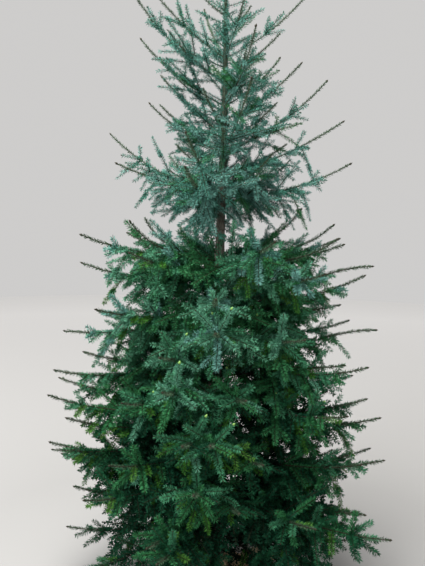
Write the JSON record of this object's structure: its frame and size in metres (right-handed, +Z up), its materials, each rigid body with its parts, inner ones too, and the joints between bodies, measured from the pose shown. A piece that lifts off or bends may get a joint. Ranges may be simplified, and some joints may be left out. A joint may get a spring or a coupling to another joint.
{
  "type": "cut spruce christmas tree on a wooden cross",
  "caption": "Undecorated cut spruce with open upper whorls, a dense drooping lower crown and a bare gap between, standing on a plain wooden cross.",
  "frame": {"origin": "middle of the wooden cross's flat underside, under the trunk's foot, on the floor", "axes": "+Z up along the trunk, -Y towards the camera of the picture, +X to its right"},
  "size_m": [1.2963, 1.3387, 2.8108],
  "materials": {
    "needles": "matt blue-green needles",
    "bark": "rough brown bark",
    "planks": "plain sawn softwood"
  },
  "bodies": {
    "root": {"bough_1_1": "bark", "bough_1_2": "bark", "bough_1_3": "bark", "bough_1_4": "bark", "bough_1_5": "bark", "leader": "needles", "needles_10_1": "needles", "needles_10_2": "needles", "needles_10_3": "needles", "needles_10_4": "needles", "needles_11_1": "needles", "needles_11_2": "needles", "needles_11_3": "needles", "needles_1_1": "needles", "needles_1_2": "needles", "needles_1_3": "needles", "needles_1_4": "needles", "needles_1_5": "needles", "needles_2_1": "needles", "needles_2_2": "needles", "needles_2_3": "needles", "needles_2_4": "needles", "needles_2_5": "needles", "needles_3_1": "needles", "needles_3_2": "needles", "needles_3_3": "needles", "needles_3_4": "needles", "needles_3_5": "needles", "needles_4_1": "needles", "needles_4_2": "needles", "needles_4_3": "needles", "needles_4_4": "needles", "needles_4_5": "needles", "needles_5_1": "needles", "needles_5_2": "needles", "needles_5_3": "needles", "needles_5_4": "needles", "needles_6_1": "needles", "needles_6_2": "needles", "needles_6_3": "needles", "needles_6_4": "needles", "needles_7_1": "needles", "needles_7_2": "needles", "needles_7_3": "needles", "needles_7_4": "needles", "needles_8_1": "needles", "needles_8_2": "needles", "needles_8_3": "needles", "needles_8_4": "needles", "needles_9_1": "needles", "needles_9_2": "needles", "needles_9_3": "needles", "stand_brace_1": "planks", "stand_brace_2": "planks", "stand_brace_3": "planks", "stand_brace_4": "planks", "stand_plank_1": "planks", "stand_plank_2": "planks", "trunk": "bark"}
  },
  "joints": []
}
